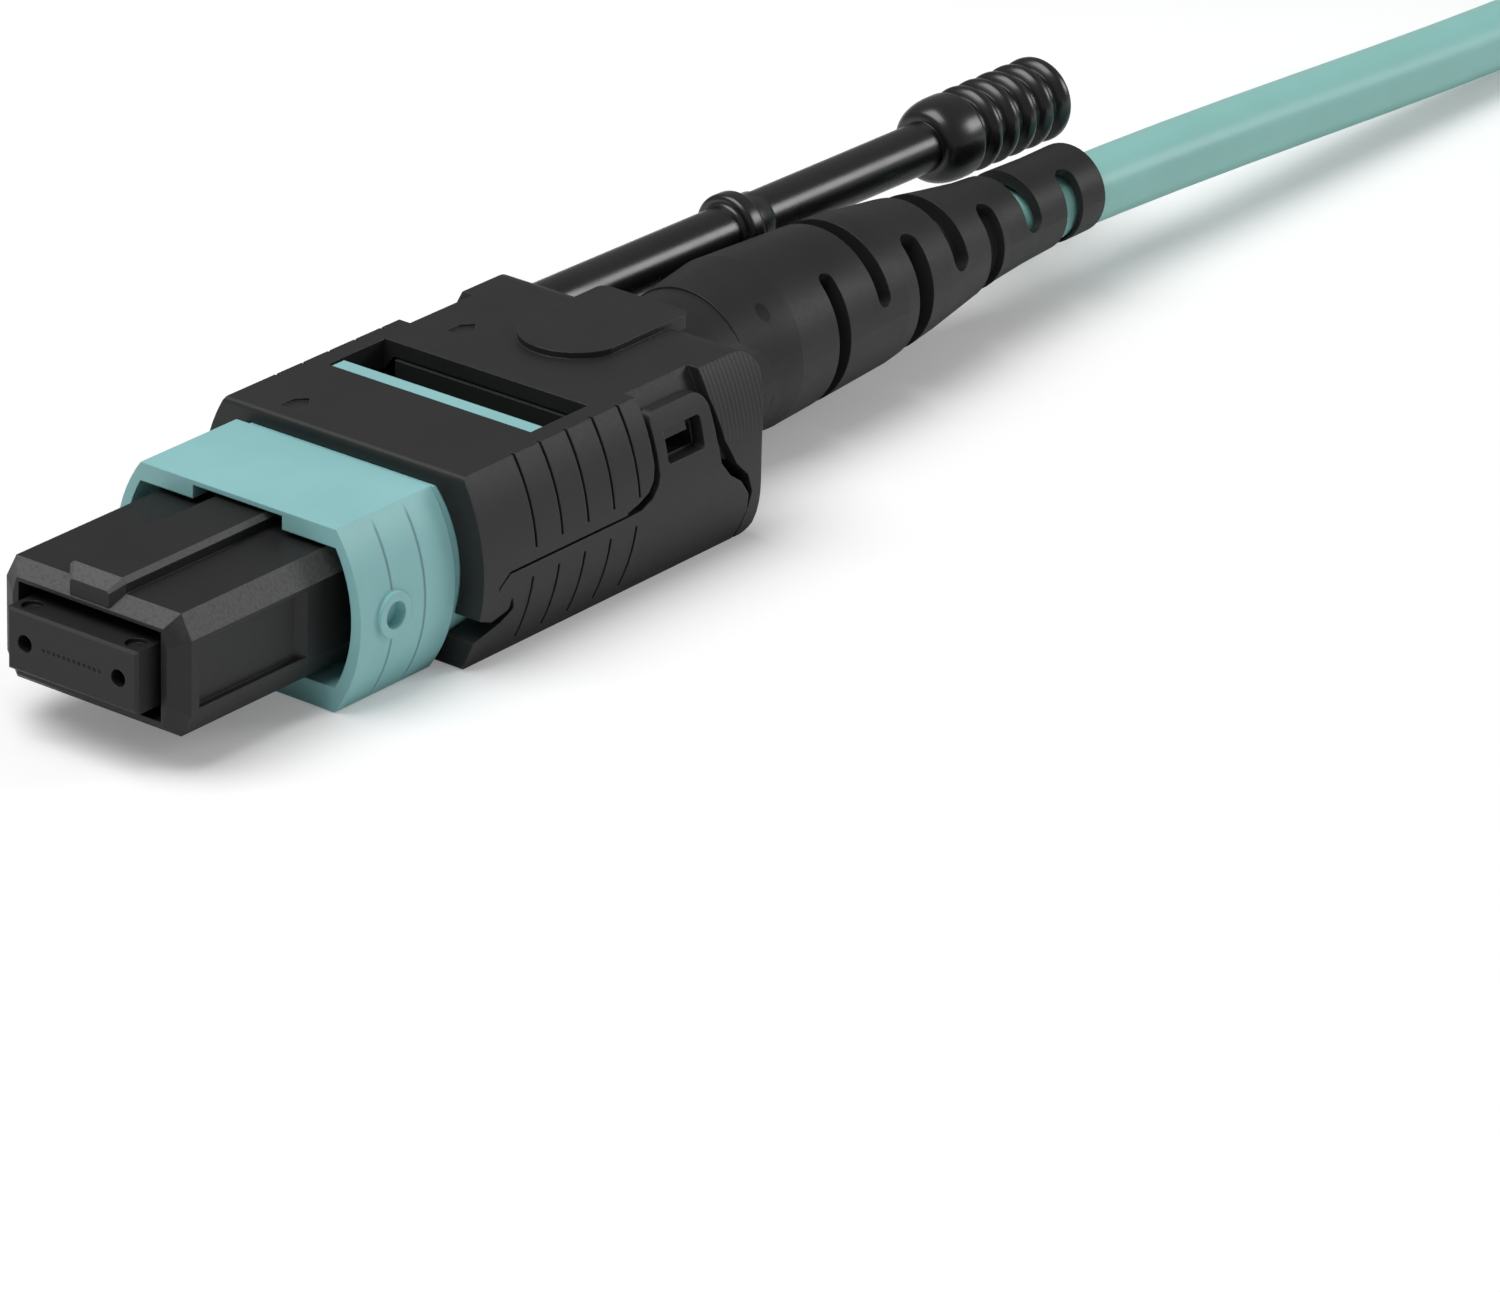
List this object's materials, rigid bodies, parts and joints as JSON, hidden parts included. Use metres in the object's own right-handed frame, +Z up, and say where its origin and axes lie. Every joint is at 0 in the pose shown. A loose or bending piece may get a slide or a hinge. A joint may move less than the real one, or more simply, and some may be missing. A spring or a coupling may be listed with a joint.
{
  "type": "multi-fibre push-pull fibre connector",
  "caption": "Multi-fibre push-pull connector with keyed plug, coloured coupling sleeve, clip-on shell, pull rod and slotted boot on a round cable with a far end.",
  "frame": {"origin": "centre of the near connector's footprint on the surface it lies on", "axes": "+Z up with the key and finger pad on top, +Y along the connector from the ferrule face towards the cable, +X to the right seen from behind the plug's front looking along +Y"},
  "size_m": [0.0216, 0.2902, 0.0183],
  "materials": {
    "housing_plastic": "moulded black engineering plastic, fine matte",
    "ferrule_plastic": "glass-filled dark grey, ground flat",
    "ribbon_coating": "clear-coated fibre ribbon",
    "soft_rubber": "soft black elastomer",
    "steel": "bright stainless steel",
    "yarn": "yellow aramid yarn",
    "crimp_metal": "plain crimped metal",
    "boot_rubber": "satin black elastomer",
    "sleeve_plastic": "aqua moulded plastic, satin",
    "shell_plastic": "black moulded plastic, satin",
    "rod_plastic": "smooth black plastic",
    "cable_jacket": "aqua cable jacket, satin"
  },
  "bodies": {
    "connector": {"inner_housing": "housing_plastic", "ferrule_spring": "steel", "spring_push": "housing_plastic", "aramid_yarn": "yarn", "crimp_ring": "crimp_metal", "boot": "boot_rubber", "coupling_spring_left": "steel", "coupling_spring_right": "steel", "cable": "cable_jacket", "cable_coil": "cable_jacket", "cable_far": "cable_jacket", "far_inner_housing": "housing_plastic", "far_boot": "boot_rubber"},
    "grip": {"coupling_sleeve": "sleeve_plastic", "shell_upper": "shell_plastic", "shell_lower": "shell_plastic", "pull_rod": "rod_plastic"},
    "ferrule": {"mt_ferrule": "ferrule_plastic", "fibre_ribbon": "ribbon_coating", "ferrule_boot": "soft_rubber", "pin_clamp": "steel"},
    "far_grip": {"far_coupling_sleeve": "sleeve_plastic", "far_shell_upper": "shell_plastic", "far_shell_lower": "shell_plastic", "far_pull_rod": "rod_plastic"},
    "far_ferrule": {"far_mt_ferrule": "ferrule_plastic"}
  },
  "joints": [
    {"name": "grip_slide", "type": "slide", "parent": "connector", "child": "grip", "axis": [0, 1, 0], "range_m": [0, 0.002], "stiffness_N_per_m": 60, "springref_m": -0.001, "deforming": ["coupling_spring_left", "coupling_spring_right"]},
    {"name": "ferrule_slide", "type": "slide", "parent": "connector", "child": "ferrule", "axis": [0, 1, 0], "range_m": [0, 0.001], "stiffness_N_per_m": 40, "springref_m": -0.0005, "deforming": ["ferrule_spring"]},
    {"name": "far_grip_slide", "type": "slide", "parent": "connector", "child": "far_grip", "axis": [0, -1, 0], "range_m": [0, 0.002], "stiffness_N_per_m": 60, "springref_m": -0.001},
    {"name": "far_ferrule_slide", "type": "slide", "parent": "connector", "child": "far_ferrule", "axis": [0, -1, 0], "range_m": [0, 0.001], "stiffness_N_per_m": 40, "springref_m": -0.0005}
  ]
}
